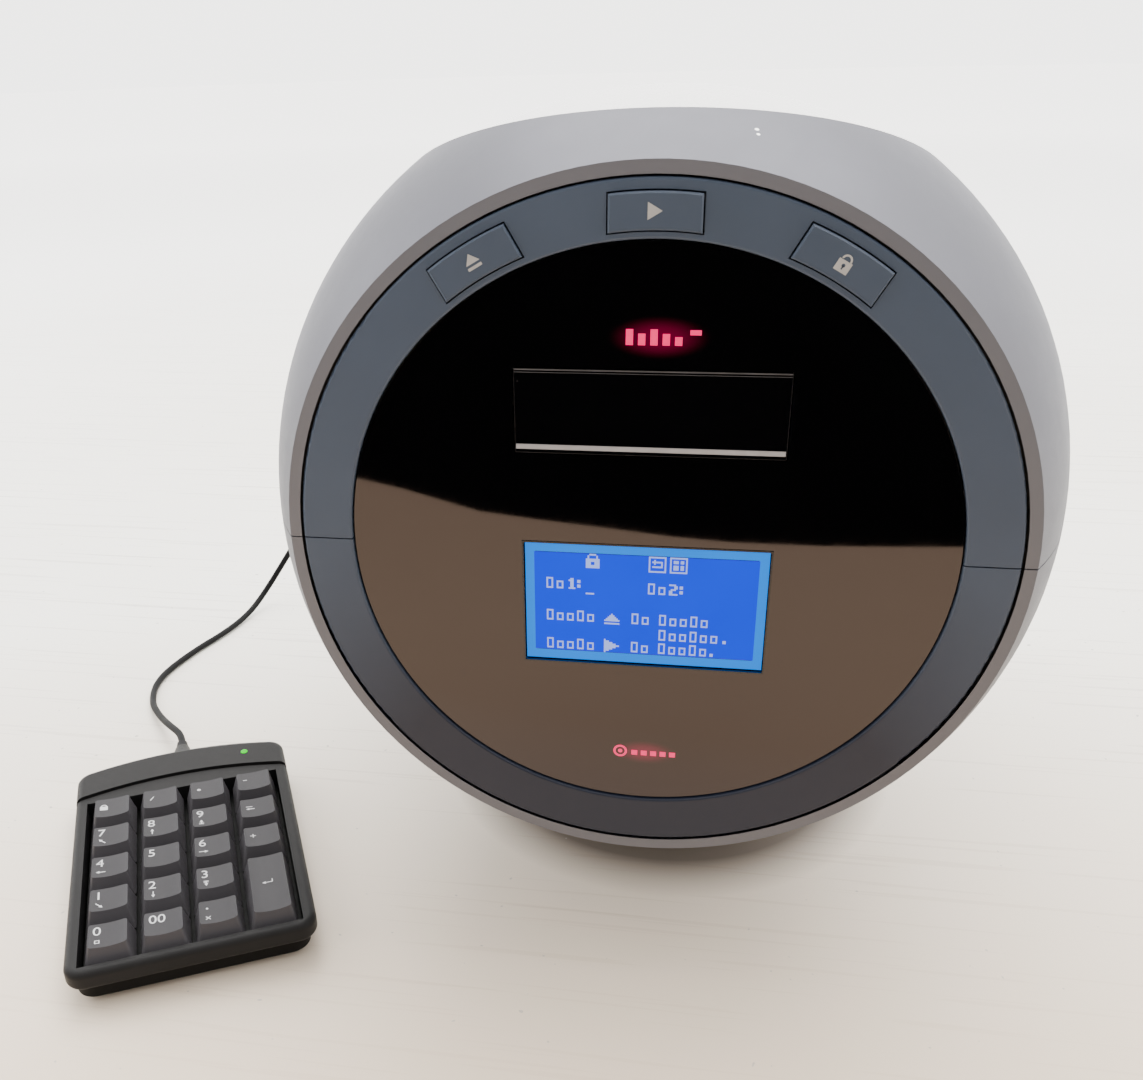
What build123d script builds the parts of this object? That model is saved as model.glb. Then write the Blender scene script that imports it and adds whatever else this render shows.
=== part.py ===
"""Ball-shaped benchtop fluorescence cell counter with its tethered numeric keypad.

Millimetres. X to the right seen from the front, Y towards the back, Z up.
Origin: centre of the rubber pad's underside, on the bench.
"""

import os
from math import asin, cos, degrees, pi, radians, sin, sqrt, tan

from build123d import *

# ---------------------------------------------------------------- driving dimensions
CENTRE_Z = 164.7          # height of the ball's and the front panel's centre
PANEL_Y = -160.0          # front panel plane
BALL_BACK = 68.8          # ball centre behind the panel plane
BALL_R = 128.5            # outer radius of the ball
REAR_ARC = 628.0          # behind its widest point the ball tapers by an arc of this radius
REAR_CUT = 200.0          # rear opening behind the ball centre
WALL = 3.0                # moulded shell wall
PARTING = 0.4             # gap between the upper and the lower half

TOP_CUT = 93.6            # slanted top plane's distance from the ball centre
TOP_SLOPE = 21.3          # its slope down to the rear, degrees
COVER_R = 137.5           # top cover's radius
COVER_SINK = 15.6         # its centre lies this far under the ball centre, along the top plane's normal
COVER_ARC = 486.0         # radius of its arc to the rear
COVER_WALL = 2.5
COVER_END = 6.0           # the cover ends this far in front of the rear opening

RING_OUT = 104.3          # dark trim ring
RING_IN = 88.9
RING_DEEP = 5.0
WINDOW_R = 88.3           # black window disc
WINDOW_RECESS = 1.0
WINDOW_DEEP = 4.0         # depth of its rear face behind the panel plane
SLIP = 0.3                # gap round an insert

SLOT_HALF = 38.1          # tray front, half width
SLOT_LOW = 29.2
SLOT_HIGH = 54.0
DISPLAY_HALF = 36.0       # display window, half width
DISPLAY_LOW = -38.7
DISPLAY_HIGH = 0.9

BUTTON_IN = 91.2          # buttons, radial range
BUTTON_OUT = 100.9
BUTTON_HALF = 12.15
BUTTON_PROUD = 1.2
BUTTON_GAP = 0.45
BUTTON_STEP = 30.0        # degrees between buttons
BUTTON_TRAVEL = 0.8
SWITCH_DEPTH = 8.8        # push switches' tips behind the panel plane

TRAY_TRAVEL = 86.0
TRAY_HALF = 32.0
TRAY_LOW = 33.0           # heights over the panel centre
TRAY_HIGH = 38.0
CARRIAGE_DEEP = 14.0      # the tray's rear crosspiece, front to back
SLIDE_W = 26.0            # recess for a 25 x 75 mm slide
SLIDE_L = 76.5
ROD_R = 3.0
ROD_X = 42.0
ROD_Z = 36.0
SCREW_X = 22.0
SCREW_Z = 25.0
OPTIC_DEPTH = 50.0        # optical axis behind the panel plane
RUNNING = 0.05            # radial clearance of running fits

BASE_HALF_X = 75.0        # oval pedestal
BASE_HALF_Y = 88.0
PAD_T = 3.0

FAN_X = -28.0
FAN_Z = -38.0
FAN_SIDE = 50.0
FAN_DEEP = 15.0
INLET_X = 42.0
INLET_Z = -46.0
SWITCH_X = 42.0
SWITCH_Z = -14.0
USB_X = -60.0
USB_Z = (8.0, -4.0)       # keypad's socket, free socket
ROCKER_TILT = 8.0

KEY_PITCH = 19.05
KEYPAD_X = -178.3         # keypad's centre on the bench
KEYPAD_Y = -133.5
KEYPAD_YAW = 25.96
KEYPAD_HALF = 43.8
KEYPAD_FRONT = -60.75
KEYPAD_BACK = 60.75
KEYPAD_BULGE = 7.0
KEYPAD_SPLIT = 9.0        # lower edge of the keypad's upper shell
KEYPAD_RIM = 17.0
KEYPAD_BOARD_TOP = 8.6
KEY_TOP = 21.2
KEY_LOW = 12.0
KEY_TRAVEL = 2.3
FIRST_ROW = 29.0
CORD_D = 3.2
CORD_EXIT_Z = 11.0        # cord's height where it leaves the keypad

# ---------------------------------------------------------------- worked out
TRAY_LONG = TRAY_TRAVEL + CARRIAGE_DEEP + 17.4
BALL_Y = PANEL_Y + BALL_BACK
REAR_Y = BALL_Y + REAR_CUT
PANEL_OUT = REAR_Y - 2.0
PANEL_IN = REAR_Y - 5.0
SLOPE_Y = sin(radians(TOP_SLOPE))
SLOPE_Z = cos(radians(TOP_SLOPE))
TOP = Plane(
    origin=(0, BALL_Y + TOP_CUT * SLOPE_Y, CENTRE_Z + TOP_CUT * SLOPE_Z),
    x_dir=(1, 0, 0),
    z_dir=(0, SLOPE_Y, SLOPE_Z),
)


# ---------------------------------------------------------------- helpers
def block(x0, x1, y0, y1, z0, z1):
    """Box between two corners."""
    return Pos(x0, y0, z0) * Box(x1 - x0, y1 - y0, z1 - z0, align=(Align.MIN,) * 3)


def inner_block(x0, x1, d0, d1, z0, z1):
    """Box given by depth behind the panel plane and height over the panel centre."""
    return block(x0, x1, PANEL_Y + d0, PANEL_Y + d1, CENTRE_Z + z0, CENTRE_Z + z1)


def rod_y(radius, y0, y1, x, z):
    """Cylinder along Y; z is over the panel centre."""
    return Pos(x, (y0 + y1) / 2, CENTRE_Z + z) * Rot(90, 0, 0) * Cylinder(radius, y1 - y0)


def rod_z(radius, z0, z1, x, y):
    """Upright cylinder; z0 and z1 are over the panel centre."""
    return Pos(x, y, CENTRE_Z + (z0 + z1) / 2) * Cylinder(radius, z1 - z0)


def front_cut(sketch, deep0, deep1):
    """Sketch as seen from the front, extruded between two depths behind the panel plane."""
    plane = Plane(origin=(0, PANEL_Y + deep0, CENTRE_Z), x_dir=(1, 0, 0), z_dir=(0, -1, 0))
    return extrude(plane * sketch, amount=deep0 - deep1)


def window(half_x, low, high, corner):
    """Rounded rectangle in the front view."""
    return Pos(0, (high + low) / 2) * RectangleRounded(2 * half_x, high - low, corner)


def turned(face):
    """Face drawn as (radius, Y), turned about the panel's axis."""
    return Pos(0, 0, CENTRE_Z) * revolve(face, Axis.Y)


def egg(form, inset, thick=0.0, low=-118.0, high=232.0):
    """Ball in front of its centre, tapering by a long arc behind it, between two planes across Y.

    form is (radius, rear arc radius, centre y, centre z). inset shrinks it all round. With thick it
    is a hollow wall, otherwise it is solid.
    """
    radius, rear_arc, centre_y, centre_z = form

    def skin(shrink):
        r = radius - shrink
        long_r = rear_arc - shrink
        turn = degrees(asin(low / r))
        front = CenterArc((0, 0), r, turn, -turn)
        rear = CenterArc((r - long_r, 0), long_r, 0, degrees(asin(high / long_r)))
        return front, rear

    front, rear = skin(inset)
    if thick:
        inner_front, inner_rear = skin(inset + thick)
        ends = [Line(front @ 0, inner_front @ 0), Line(rear @ 1, inner_rear @ 1)]
        edges = [front, rear, inner_front, inner_rear] + ends
    else:
        edges = [front, rear, Polyline(rear @ 1, (0, high), (0, low), front @ 0)]
    return Pos(0, centre_y, centre_z) * Rot(0, 90, 0) * revolve(make_face(edges), Axis.Y)


HULL = (BALL_R, REAR_ARC, BALL_Y, CENTRE_Z)
DOME = (COVER_R, COVER_ARC, BALL_Y - COVER_SINK * SLOPE_Y, CENTRE_Z - COVER_SINK * SLOPE_Z)


def hull(inset=0.0):
    """The instrument's outer form, shrunk by inset."""
    return egg(HULL, inset)


def hull_wall(thick, inset=0.0):
    """Wall of the casing from the front panel's plane to the rear opening."""
    return egg(HULL, inset, thick, -BALL_BACK, REAR_CUT)


def above_top(offset=0.0):
    return TOP.offset(offset) * Box(600, 900, 400, align=(Align.CENTER, Align.CENTER, Align.MIN))


def below_top(offset=0.0):
    return TOP.offset(offset) * Box(600, 900, 600, align=(Align.CENTER, Align.CENTER, Align.MAX))


def between(y0, y1, z0, z1):
    """Wide slab between two Y planes and two heights over the panel centre."""
    return block(-300, 300, y0, y1, CENTRE_Z + z0, CENTRE_Z + z1)


def polar(radius, angle):
    """Point in the front view, angle from +X."""
    return radius * cos(radians(angle)), radius * sin(radians(angle))


def button_sketch(angle, grow=0.0):
    """Button outline: parallel sides, ends on the ring's circles."""
    band = Circle(BUTTON_OUT + grow) - Circle(BUTTON_IN - grow)
    strip = Pos(0, 100) * Rectangle(2 * (BUTTON_HALF + grow), 100)
    return Rot(0, 0, angle) * (band & strip)


PANEL_SCREW_R = 89.5
PANEL_SCREW_ANGLES = (8, 172, 215, 250, 290, 325)
LUG_ANGLES = (30, 150, 225, 315)
LUG_R = 101.0


# ---------------------------------------------------------------- casing
def rear_flange():
    """Inner flange that the rear panel is screwed to."""
    ring = hull(WALL - 0.5) & between(PANEL_IN - 3, PANEL_IN, -200, 200)
    ring -= rod_y(86.5, PANEL_IN - 9, REAR_Y, 0, 0)
    for angle in PANEL_SCREW_ANGLES:
        x, z = polar(PANEL_SCREW_R, angle)
        ring -= rod_y(1.5, PANEL_IN - 9, REAR_Y, x, z)
    return ring


def front_lugs(low, high):
    """Lugs behind the front frame, inside one half of the casing."""
    lugs = []
    for angle in LUG_ANGLES:
        x, z = polar(LUG_R, angle)
        if low < z < high:
            inner = rod_y(6, PANEL_Y + 8, PANEL_Y + 18, x, z)
            outer = rod_y(6, PANEL_Y + 8, PANEL_Y + 18, x * 1.08, z * 1.08)
            lugs.append((inner + outer) & hull(WALL - 0.5))
    return lugs


def upper_shell():
    wall = hull_wall(WALL) & between(PANEL_Y - 1, REAR_Y + 1, PARTING / 2, 200) & below_top()
    land = hull(WALL - 0.5) & below_top() & above_top(-WALL) & between(PANEL_Y + 8, REAR_Y, PARTING / 2, 200)
    land -= egg(DOME, 6)
    flange = rear_flange() & between(PANEL_Y, REAR_Y, PARTING / 2, 200) & below_top(-0.5)
    shell = wall + land + flange
    for lug in front_lugs(0, 200):
        shell += lug
    return shell


def lower_shell():
    half = between(PANEL_Y - 1, REAR_Y + 1, -200, -PARTING / 2)
    shell = (hull_wall(WALL) & half) + (rear_flange() & half)
    tongue_y = (PANEL_Y + 20, PANEL_IN - 4)
    root = hull_wall(2.5, WALL - 0.5) & between(*tongue_y, -8, -PARTING / 2)
    lip = hull_wall(1.8, WALL + 0.2) & between(*tongue_y, -2, 5)
    shell += root + lip
    for lug in front_lugs(-200, 0):
        shell += lug
    inside = hull(WALL - 0.5)
    for x in (-48, 48):
        for depth in (60, 150):
            shell += rod_z(5, -140, 4, x, PANEL_Y + depth) & inside
    for x in (-8, 30):
        shell += inner_block(x, x + 6, 90, 180, -140, -92) & inside
    for depth in (75, 175):
        for z in (-40, -12):
            post = Pos(-101.6, PANEL_Y + depth, CENTRE_Z + z) * Rot(0, 90, 0) * Cylinder(3, 60)
            shell += post & inside
    for side in (-1, 1):
        for i in range(7):
            y = BALL_Y + 96 + 8 * i
            shell -= Pos(side * 110, y, CENTRE_Z - 45) * Box(60, 3, 34)
    return shell


def top_cover():
    """Domed cover standing on the casing's land, closed by a rear wall."""
    end = REAR_Y - COVER_END
    form = egg(DOME, 0, COVER_WALL) & above_top() & between(PANEL_Y, end, -50, 200)
    rear = egg(DOME, 1) & above_top() & between(end - COVER_WALL, end, -50, 200)
    return form + rear


def base_pan():
    outer = Pos(0, 0, PAD_T) * extrude(Ellipse(BASE_HALF_X, BASE_HALF_Y), 72)
    inner = Pos(0, 0, 2 * PAD_T) * extrude(Ellipse(BASE_HALF_X - 3, BASE_HALF_Y - 3), 80)
    return outer - inner - hull(-0.2)


def base_pad():
    pad = extrude(Ellipse(BASE_HALF_X - 2, BASE_HALF_Y - 2), PAD_T)
    return chamfer(pad.edges().group_by(Axis.Z)[0], 0.8)


# ---------------------------------------------------------------- front
def trim_ring(side):
    """Half of the dark ring; side is +1 for the upper half, -1 for the lower."""
    profile = Pos((RING_OUT + RING_IN) / 2, PANEL_Y + RING_DEEP / 2) * Rectangle(RING_OUT - RING_IN, RING_DEEP)
    profile = fillet(profile.vertices().group_by(Axis.Y)[0], 0.8)
    ring = turned(profile)
    low, high = (PARTING / 2, 200) if side > 0 else (-200, -PARTING / 2)
    ring &= between(PANEL_Y - 1, PANEL_Y + 10, low, high)
    if side > 0:
        for step in (-1, 0, 1):
            ring -= front_cut(button_sketch(step * BUTTON_STEP, BUTTON_GAP), -2, 10)
    return ring


def button(step):
    """Cap, retaining flange behind the ring, and the stem over its switch."""
    angle = step * BUTTON_STEP
    cap = front_cut(button_sketch(angle), -BUTTON_PROUD, RING_DEEP + 0.3)
    front_edges = cap.edges().group_by(Axis.Y)[0]
    cap = chamfer(front_edges, 0.5)
    flange = front_cut(button_sketch(angle, 1.2), RING_DEEP + 0.2, RING_DEEP + 1.2)
    x, z = polar((BUTTON_IN + BUTTON_OUT) / 2, 90 + angle)
    stem = rod_y(1.7, PANEL_Y + RING_DEEP + 1, PANEL_Y + SWITCH_DEPTH - BUTTON_TRAVEL - 0.1, x, z)
    return cap + flange + stem


def button_board():
    """Arc-shaped circuit board with one push switch behind each button."""
    centre = (BUTTON_IN + BUTTON_OUT) / 2
    board = front_cut(Circle(106) - Circle(86), 14, 15.6)
    wedge = Polyline((0, 0), polar(160, 44), (0, 200), polar(160, 136), close=True)
    board &= front_cut(make_face(wedge), 10, 20)
    for step in (-1, 0, 1):
        x, z = polar(centre, 90 + step * BUTTON_STEP)
        body = Pos(x, PANEL_Y + 12.2, CENTRE_Z + z) * Rot(0, step * -BUTTON_STEP, 0) * Box(6, 3.6, 6)
        board += body + rod_y(1.75, PANEL_Y + SWITCH_DEPTH, PANEL_Y + 11, x, z)
    return board


def front_window():
    disc = Circle(WINDOW_R)
    disc -= window(SLOT_HALF + SLIP, SLOT_LOW - SLIP, SLOT_HIGH + SLIP, 0.8)
    disc -= window(DISPLAY_HALF + SLIP, DISPLAY_LOW - SLIP, DISPLAY_HIGH + SLIP, 0.8)
    return front_cut(disc, WINDOW_RECESS, WINDOW_DEEP)


def front_frame():
    """Plate behind the ring and the window, with seats and standoffs."""
    plate = Circle(107)
    plate -= window(SLOT_HALF + 1.4, SLOT_LOW - 1.2, SLOT_HIGH + 1.2, 1)
    plate -= window(42.4, -45.2, 7.4, 1)
    for step in (-1, 0, 1):
        plate -= button_sketch(step * BUTTON_STEP, 2.0)
    frame = front_cut(plate, RING_DEEP, 8)
    frame += front_cut(Circle(WINDOW_R) - Circle(72), WINDOW_DEEP, RING_DEEP)
    for x in (-44.8, 44.8):
        for z in (-49, 11.5):
            frame += rod_y(1.6, PANEL_Y + 8, PANEL_Y + 12, x, z)
    for angle in (47, 75, 105, 133):
        x, z = polar(96, angle)
        frame += rod_y(2.2, PANEL_Y + 8, PANEL_Y + 14, x, z)
    return frame


def lcd_module():
    """Graphic display: glass, metal bezel and its circuit board."""
    glass = front_cut(window(DISPLAY_HALF, DISPLAY_LOW, DISPLAY_HIGH, 0.6), 2.2, 5)
    bezel = front_cut(window(42.0, -44.8, 7.0, 0.8), 4.6, 12)
    board = front_cut(window(46.5, -52, 14, 1), 12, 13.6)
    return glass + bezel + board


# ---------------------------------------------------------------- tray drive and optics
def tray_front():
    plate = front_cut(window(SLOT_HALF, SLOT_LOW, SLOT_HIGH, 0.6), WINDOW_RECESS, 4.6)
    return plate


def sample_tray():
    d0 = 4.6
    d1 = d0 + TRAY_LONG
    tray = inner_block(-TRAY_HALF, TRAY_HALF, d0, d1, TRAY_LOW, TRAY_HIGH)
    tray += inner_block(-48, 48, d1 - CARRIAGE_DEEP, d1, TRAY_LOW - 1, TRAY_HIGH + 2)
    recess = (d0 + 5, d0 + 5 + SLIDE_L)
    tray -= inner_block(-SLIDE_W / 2, SLIDE_W / 2, *recess, TRAY_HIGH - 1.6, TRAY_HIGH + 1)
    tray -= inner_block(-9, 9, recess[0] + 8, recess[1] - 8, TRAY_LOW - 1, TRAY_HIGH)
    finger = rod_z(11, TRAY_HIGH - 3, TRAY_HIGH + 1, 0, PANEL_Y + recess[0] + 38)
    tray -= finger & inner_block(-30, 30, 0, 120, TRAY_HIGH - 3, TRAY_HIGH + 1)
    for x in (-ROD_X, ROD_X):
        tray -= rod_y(ROD_R + RUNNING, PANEL_Y, PANEL_Y + 160, x, ROD_Z)
    return tray


def leadscrew_nut():
    d1 = 4.6 + TRAY_LONG
    nut = inner_block(SCREW_X - 9, SCREW_X + 9, d1 - CARRIAGE_DEEP, d1, SCREW_Z - 7, TRAY_LOW - 1)
    return nut - rod_y(ROD_R + RUNNING, PANEL_Y, PANEL_Y + 160, SCREW_X, SCREW_Z)


def leadscrew():
    return rod_y(ROD_R, PANEL_Y + 16.5, PANEL_Y + 152, SCREW_X, SCREW_Z)


def guide_rods():
    return [rod_y(ROD_R, PANEL_Y + 16, PANEL_Y + 140, x, ROD_Z) for x in (-ROD_X, ROD_X)]


def tray_motor():
    """Stepping motor, square, with chamfered corners; the leadscrew is its shaft."""
    side = 35.0
    body = Pos(SCREW_X, PANEL_Y + 155, CENTRE_Z + SCREW_Z) * Box(side, 30, side)
    body = chamfer(body.edges().filter_by(Axis.Y), 3)
    return body - rod_y(ROD_R + RUNNING, PANEL_Y + 139, PANEL_Y + 153, SCREW_X, SCREW_Z)


def stage_frame():
    """Cast deck, end walls with rod bores, and the bridge for the light source."""
    frame = inner_block(-55, 55, 18, 186, 4, 7)
    frame += inner_block(-50, 50, 16, 20, 4, 46) + inner_block(-50, 50, 136, 140, 4, 46)
    for x in (-54, 50):
        frame += inner_block(x, x + 4, 38, 62, 4, 62)
    frame += inner_block(-54, 54, 38, 62, 60, 64)
    for x in (-50, 44):
        frame += inner_block(x, x + 6, 8, 17, 16, 30)
    frame -= inner_block(-TRAY_HALF - 1.5, TRAY_HALF + 1.5, 15, 21, TRAY_LOW - 0.8, 50)
    frame -= rod_z(14, 0, 10, 0, PANEL_Y + OPTIC_DEPTH)
    frame -= rod_z(10, 55, 70, 0, PANEL_Y + OPTIC_DEPTH)
    for x in (-ROD_X, ROD_X):
        frame -= rod_y(ROD_R, PANEL_Y + 10, PANEL_Y + 145, x, ROD_Z)
    frame -= rod_y(ROD_R + RUNNING, PANEL_Y + 10, PANEL_Y + 145, SCREW_X, SCREW_Z)
    return frame


def objective_lens():
    y = PANEL_Y + OPTIC_DEPTH
    lens = rod_z(11, 4, 16, 0, y) + rod_z(9, 16, 22, 0, y)
    return lens + Pos(0, y, CENTRE_Z + 24) * Cone(9, 5, 4)


def camera_module():
    """Tube under the deck with the camera at its foot."""
    y = PANEL_Y + OPTIC_DEPTH
    flange = rod_z(22, 1, 4, 0, y)
    tube = rod_z(15, -70, 1, 0, y)
    body = Pos(0, y, CENTRE_Z - 84) * Box(42, 42, 28)
    body = chamfer(body.edges().filter_by(Axis.Z), 2)
    return flange + tube + body


def light_source():
    """Lamp housing with cooling fins over the bridge, condenser below."""
    y = PANEL_Y + OPTIC_DEPTH
    lamp = Pos(0, y, CENTRE_Z + 78) * Box(34, 34, 28)
    for i in range(6):
        lamp -= Pos(-12.5 + 5 * i, y, CENTRE_Z + 90) * Box(2.4, 40, 16)
    return lamp + rod_z(9.5, 52, 65, 0, y)


def main_board():
    """Upright controller board with its larger components."""
    board = inner_block(-71.6, -70, 60, 190, -50, 40)
    parts = (
        (70, 96, -5, 25, 3.0),
        (104, 120, 5, 21, 2.4),
        (128, 160, -20, -4, 8.0),
        (150, 182, 12, 32, 10.0),
        (66, 90, -46, -34, 9.0),
        (100, 150, -44, -32, 6.0),
    )
    for d0, d1, z0, z1, high in parts:
        board += inner_block(-70, -70 + high, d0, d1, z0, z1)
    return board


def power_supply():
    can = inner_block(-10, 40, 88, 182, -92, -54)
    for i in range(8):
        can -= inner_block(0, 30, 98 + 9.5 * i, 101 + 9.5 * i, -56, -50)
    return can


# ---------------------------------------------------------------- rear panel and what it holds
def rear_panel():
    y_mid = (PANEL_IN + PANEL_OUT) / 2
    plate = rod_y(93.0, PANEL_IN, PANEL_OUT, 0, 0) & below_top(-WALL - 0.4)
    for angle in PANEL_SCREW_ANGLES:
        x, z = polar(PANEL_SCREW_R, angle)
        plate -= rod_y(1.6, PANEL_IN - 1, PANEL_OUT + 1, x, z)
    for i in range(-3, 4):
        z = 6.2 * i
        half = sqrt(22.0**2 - z**2)
        plate -= Pos(FAN_X, y_mid, CENTRE_Z + FAN_Z + z) * Box(2 * half, 8, 3.2)
    plate -= Pos(INLET_X, y_mid, CENTRE_Z + INLET_Z) * Box(28.0, 8, 20.6)
    plate -= Pos(SWITCH_X, y_mid, CENTRE_Z + SWITCH_Z) * Box(19.2, 8, 13.2)
    for z in USB_Z:
        plate -= Pos(USB_X, y_mid, CENTRE_Z + z) * Box(13.8, 8, 6.4)
    return plate


def panel_screws():
    screws = []
    for angle in PANEL_SCREW_ANGLES:
        x, z = polar(PANEL_SCREW_R, angle)
        head = rod_y(2.8, PANEL_OUT, PANEL_OUT + 1.8, x, z) - rod_y(0.9, PANEL_OUT + 0.8, PANEL_OUT + 3, x, z)
        screws.append(head + rod_y(1.45, PANEL_IN - 4, PANEL_OUT + 0.5, x, z))
    return screws


def power_inlet():
    """Standard three-pin appliance inlet."""
    y = PANEL_OUT
    z = CENTRE_Z + INLET_Z
    inlet = block(INLET_X - 15.5, INLET_X + 15.5, y, y + 2.5, z - 12, z + 12)
    inlet += block(INLET_X - 13.8, INLET_X + 13.8, y - 24, y + 1, z - 10.1, z + 10.1)
    outline = Polyline((-12, -8.2), (12, -8.2), (12, 4), (8, 8.2), (-8, 8.2), (-12, 4), close=True)
    plane = Plane(origin=(INLET_X, y + 2.5, z), x_dir=(-1, 0, 0), z_dir=(0, 1, 0))
    inlet -= extrude(plane * make_face(outline), amount=-17)
    for px, pz in ((-7, -1), (7, -1), (0, 3)):
        inlet += block(INLET_X + px - 1, INLET_X + px + 1, y - 15, y - 0.5, z + pz - 2, z + pz + 2)
    return inlet


def switch_housing():
    y = PANEL_OUT
    z = CENTRE_Z + SWITCH_Z
    housing = block(SWITCH_X - 10.5, SWITCH_X + 10.5, y, y + 1.8, z - 7.5, z + 7.5)
    housing += block(SWITCH_X - 9.4, SWITCH_X + 9.4, y - 18, y + 1, z - 6.4, z + 6.4)
    housing -= block(SWITCH_X - 8.6, SWITCH_X + 8.6, y - 11, y + 3, z - 5.5, z + 5.5)
    return housing - rod_z(1.05, SWITCH_Z - 6.2, SWITCH_Z + 6.2, SWITCH_X, y - 2)


def switch_rocker():
    """Dished rocker on two stub pins, stored tilted to its on side."""
    outline = Polyline((-8.0, 3.4), (0, 1.8), (8.0, 3.4), (7.6, 0), (4.6, -6), (-4.6, -6), (-7.6, 0), close=True)
    rocker = extrude(make_face(outline), amount=5.2, both=True) + Cylinder(1.0, 12.2)
    return Pos(SWITCH_X, PANEL_OUT - 2, CENTRE_Z + SWITCH_Z) * Rot(0, 0, ROCKER_TILT) * rocker


def usb_sockets():
    """Two data sockets: metal can, contact tongue in the upper half."""
    sockets = []
    for z in USB_Z:
        z += CENTRE_Z
        y = PANEL_OUT
        can = block(USB_X - 6.6, USB_X + 6.6, y - 14, y + 0.6, z - 2.95, z + 2.95)
        can -= block(USB_X - 6.2, USB_X + 6.2, y - 13, y + 2, z - 2.5, z + 2.5)
        can += block(USB_X - 5.4, USB_X + 5.4, y - 13.5, y - 2, z + 0.3, z + 1.7)
        sockets.append(can)
    return sockets


def fan_frame():
    y0 = PANEL_IN - FAN_DEEP
    frame = Pos(FAN_X, (y0 + PANEL_IN) / 2, CENTRE_Z + FAN_Z) * Box(FAN_SIDE, FAN_DEEP, FAN_SIDE)
    frame = fillet(frame.edges().filter_by(Axis.Y), 3)
    frame -= rod_y(23.2, y0 - 1, PANEL_IN + 1, FAN_X, FAN_Z)
    frame += rod_y(10.5, y0, y0 + 2.5, FAN_X, FAN_Z)
    for angle in (45, 135, 225, 315):
        spoke = Pos(17, 0, 0) * Box(15, 2, 2.4)
        frame += Pos(FAN_X, y0 + 1.2, CENTRE_Z + FAN_Z) * Rot(0, angle, 0) * spoke
    for x in (-20, 20):
        for z in (-20, 20):
            frame -= rod_y(2.1, y0 - 1, PANEL_IN + 1, FAN_X + x, FAN_Z + z)
    return frame


def fan_rotor():
    """Hub and seven pitched blades."""
    y0 = PANEL_IN - FAN_DEEP + 3.2
    rotor = rod_y(10, y0, PANEL_IN - 1.2, FAN_X, FAN_Z)
    for i in range(7):
        blade = Pos(15.6, 0, 0) * Rot(38, 0, 0) * Box(13, 12, 1.2)
        rotor += Pos(FAN_X, (y0 + PANEL_IN - 1.2) / 2, CENTRE_Z + FAN_Z) * Rot(0, i * 360 / 7, 0) * blade
    return rotor


# ---------------------------------------------------------------- keypad, drawn about its own centre
PLACE = Pos(KEYPAD_X, KEYPAD_Y, 0) * Rot(0, 0, KEYPAD_YAW)
WELL = (-39.0, 39.0, -57.0, 39.3)


def arc_edge(half, side_y, bulge):
    """Arc across the keypad, bulging to the back."""
    return ThreePointArc((half, side_y), (0, side_y + bulge), (-half, side_y))


def keypad_outline(inset):
    half = KEYPAD_HALF - inset
    front = KEYPAD_FRONT + inset
    back = KEYPAD_BACK - inset
    sides = Polyline((-half, back), (-half, front), (half, front), (half, back))
    sketch = make_face([sides, arc_edge(half, back, KEYPAD_BULGE)])
    return fillet(sketch.vertices(), 7 - inset)


def rounded_body(high, low_radius, high_radius):
    """The keypad's outline as a block with rounded lower and upper edges."""
    body = Pos(0, 0, KEYPAD_SPLIT) * extrude(keypad_outline(0), high - KEYPAD_SPLIT)
    body = fillet(body.edges().group_by(Axis.Z)[-1], high_radius)
    return fillet(body.edges().group_by(Axis.Z)[0], low_radius)


def keypad_top():
    """Upper shell: key well, crowned brow behind a groove, cord neck."""
    groove_arc = arc_edge(60, 35.9, 12.6)
    behind = make_face([Polyline((-60, 35.9), (-60, 90), (60, 90), (60, 35.9)), groove_arc])
    shell = rounded_body(KEYPAD_RIM, 2.4, 2.6)
    shell += rounded_body(KEYPAD_RIM + 1, 2.4, 3.0) & Pos(0, 0, KEYPAD_SPLIT) * extrude(behind, 20)
    groove = Pos(0, 0, KEYPAD_RIM - 1) * extrude(behind, 4)
    groove -= Pos(0, 0.9, 0) * groove
    shell -= groove
    shell -= block(*WELL, 4, 30)
    shell -= block(-38, 38, 43, 57, 4, KEYPAD_RIM - 2)
    neck = Pos(0, 68.5, CORD_EXIT_Z) * Rot(-90, 0, 0) * Cone(7.0, 3.2, 17)
    shell += neck & block(-20, 20, 60, 80, 8, 30)
    return shell - Pos(0, 74, CORD_EXIT_Z) * Rot(90, 0, 0) * Cylinder(CORD_D / 2 + 0.5, 8)


def keypad_base():
    """Lower tray, set in from the upper shell."""
    low = 1.5
    tray = Pos(0, 0.1, low) * extrude(RectangleRounded(82.0, 116.6, 7), KEYPAD_SPLIT - low)
    tray = chamfer(tray.edges().group_by(Axis.Z)[0], 2.2)
    return tray - Pos(0, 0.1, 4.5) * extrude(RectangleRounded(78.4, 113.0, 5), 10)


def keypad_feet():
    return [Pos(x, y, 0.75) * Cylinder(4, 1.5) for x in (-32, 32) for y in (-46, 50)]


def keypad_board():
    low = KEYPAD_BOARD_TOP - 1.6
    return block(-38.5, 38.5, -55, 52, low, KEYPAD_BOARD_TOP) + block(-30, 30, -50, 45, 4.5, low)


def keypad_strain_relief():
    relief = Pos(0, 79.5, CORD_EXIT_Z) * Rot(-90, 0, 0) * Cone(2.9, 2.3, 5)
    root = Pos(0, 74, CORD_EXIT_Z) * Rot(90, 0, 0) * Cylinder(CORD_D / 2 + 0.4, 7.9)
    return relief + root


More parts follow.
